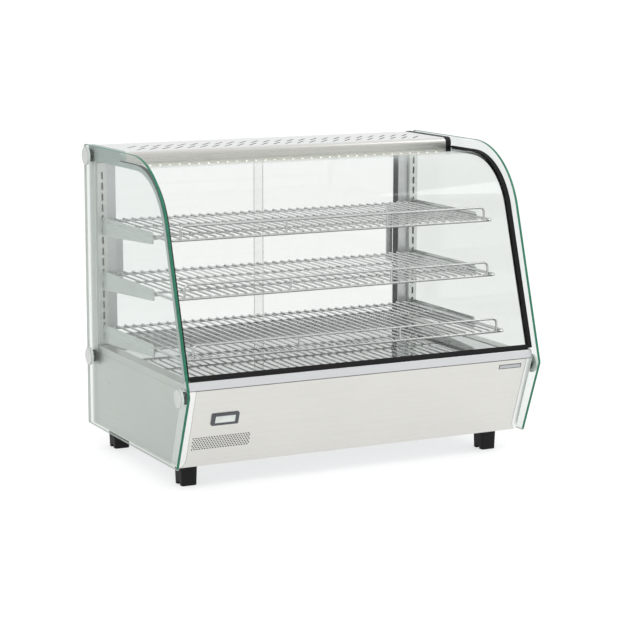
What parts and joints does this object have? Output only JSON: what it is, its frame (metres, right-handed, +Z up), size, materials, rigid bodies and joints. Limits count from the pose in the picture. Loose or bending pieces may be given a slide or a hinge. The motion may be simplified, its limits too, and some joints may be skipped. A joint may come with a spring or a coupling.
{
  "type": "bakery display case",
  "caption": "Countertop heated display case with a curved front glass, glass sides, wire shelves on hook-in brackets, a polished deck, rear sliding doors and a sheet-metal base on feet.",
  "frame": {"origin": "on the counter, under the middle of the case's box", "axes": "+X along the case to the right as the customer faces it, +Y from the customer's side to the server's side, +Z up"},
  "size_m": [0.858, 0.5685, 0.686],
  "materials": {
    "brushed_stainless": "fine brushed stainless sheet",
    "mirror_stainless": "mirror polished stainless plate",
    "galvanised_sheet": "plain galvanised sheet",
    "cap_stainless": "turned and satin finished",
    "bracket_steel": "satin stainless plate",
    "chrome_wire": "bright chromed wire",
    "anodised_aluminium": "natural anodised",
    "element_sheath": "heat-darkened tube",
    "side_glass": "toughened glass with polished green edge",
    "front_glass": "bent toughened glass",
    "door_glass": "clear toughened glass",
    "display_window": "grey display window",
    "gasket_rubber": "black extruded seal",
    "foot_rubber": "black moulded foot",
    "black_plastic": "black moulded plastic",
    "black_gloss": "glossy black bezel",
    "rocker_plastic": "glossy rocker",
    "lamp_strip": "white lamp strip",
    "driver_housing": "off-white moulded housing",
    "black_screw": "blackened screw head",
    "blank_plate": "blank satin plate"
  },
  "bodies": {
    "cabinet": {"base_pan": "galvanised_sheet", "base_rear_panel": "brushed_stainless", "base_side_left": "brushed_stainless", "base_side_right": "brushed_stainless", "cable_gland": "black_plastic", "cap_washers": "gasket_rubber", "corner_post_left": "brushed_stainless", "corner_post_right": "brushed_stainless", "deck_frame": "brushed_stainless", "display_bezel": "black_gloss", "display_lens": "display_window", "door_jambs": "anodised_aluminium", "door_track_bottom": "anodised_aluminium", "door_track_top": "anodised_aluminium", "foot_front_left": "foot_rubber", "foot_front_right": "foot_rubber", "foot_rear_left": "foot_rubber", "foot_rear_right": "foot_rubber", "foot_screws": "black_screw", "front_frame": "brushed_stainless", "front_glass": "front_glass", "front_panel": "brushed_stainless", "front_top_strip": "brushed_stainless", "glass_caps_left": "cap_stainless", "glass_caps_right": "cap_stainless", "glass_gasket_bottom": "gasket_rubber", "glass_gasket_left": "gasket_rubber", "glass_gasket_right": "gasket_rubber", "heat_shield": "galvanised_sheet", "heating_elements": "element_sheath", "lamp_tray": "brushed_stainless", "led_driver": "driver_housing", "led_strip": "lamp_strip", "rating_plate": "blank_plate", "shelf_upright_left": "bracket_steel", "shelf_upright_right": "bracket_steel", "side_glass_left": "side_glass", "side_glass_right": "side_glass", "switch_housings": "black_plastic", "thermostat_body": "driver_housing", "top_cover": "brushed_stainless", "top_trim_left": "black_plastic", "top_trim_right": "black_plastic"},
    "door_left": {"door_left_fittings": "anodised_aluminium", "door_left_glass": "door_glass"},
    "door_right": {"door_right_fittings": "anodised_aluminium", "door_right_glass": "door_glass"},
    "deck": {"deck_plate": "mirror_stainless"},
    "thermostat_knob_body": {"thermostat_knob": "black_plastic"},
    "power_rocker_body": {"power_rocker": "rocker_plastic"},
    "light_rocker_body": {"light_rocker": "rocker_plastic"},
    "brackets_upper": {"bracket_upper_left": "bracket_steel", "bracket_upper_right": "bracket_steel"},
    "shelf_upper_body": {"shelf_upper": "chrome_wire"},
    "brackets_middle": {"bracket_middle_left": "bracket_steel", "bracket_middle_right": "bracket_steel"},
    "shelf_middle_body": {"shelf_middle": "chrome_wire"},
    "brackets_lower": {"bracket_lower_left": "bracket_steel", "bracket_lower_right": "bracket_steel"},
    "shelf_lower_body": {"shelf_lower": "chrome_wire"}
  },
  "joints": [
    {"name": "rear_door_left_slide", "type": "slide", "parent": "cabinet", "child": "door_left", "axis": [1, 0, 0], "range_m": [0, 0.36]},
    {"name": "rear_door_right_slide", "type": "slide", "parent": "cabinet", "child": "door_right", "axis": [1, 0, 0], "range_m": [-0.36, 0]},
    {"name": "deck_plate_lift", "type": "slide", "parent": "cabinet", "child": "deck", "axis": [0, 0, 1], "range_m": [0, 0.025]},
    {"name": "thermostat_turn", "type": "hinge", "parent": "cabinet", "child": "thermostat_knob_body", "pos_m": [0.25, 0.264, 0.105], "axis": [0, 1, 0], "range_deg": [0, 270]},
    {"name": "power_switch_rock", "type": "hinge", "parent": "cabinet", "child": "power_rocker_body", "pos_m": [0.15, 0.261, 0.105], "axis": [1, 0, 0], "range_deg": [0, 18]},
    {"name": "light_switch_rock", "type": "hinge", "parent": "cabinet", "child": "light_rocker_body", "pos_m": [0.192, 0.261, 0.105], "axis": [1, 0, 0], "range_deg": [0, 18]},
    {"name": "brackets_upper_unhook", "type": "slide", "parent": "cabinet", "child": "brackets_upper", "axis": [0, 0, 1], "range_m": [0, 0.007]},
    {"name": "shelf_upper_lift", "type": "slide", "parent": "brackets_upper", "child": "shelf_upper_body", "axis": [0, 0, 1], "range_m": [0, 0.025]},
    {"name": "brackets_middle_unhook", "type": "slide", "parent": "cabinet", "child": "brackets_middle", "axis": [0, 0, 1], "range_m": [0, 0.007]},
    {"name": "shelf_middle_lift", "type": "slide", "parent": "brackets_middle", "child": "shelf_middle_body", "axis": [0, 0, 1], "range_m": [0, 0.025]},
    {"name": "brackets_lower_unhook", "type": "slide", "parent": "cabinet", "child": "brackets_lower", "axis": [0, 0, 1], "range_m": [0, 0.007]},
    {"name": "shelf_lower_lift", "type": "slide", "parent": "brackets_lower", "child": "shelf_lower_body", "axis": [0, 0, 1], "range_m": [0, 0.025]}
  ]
}
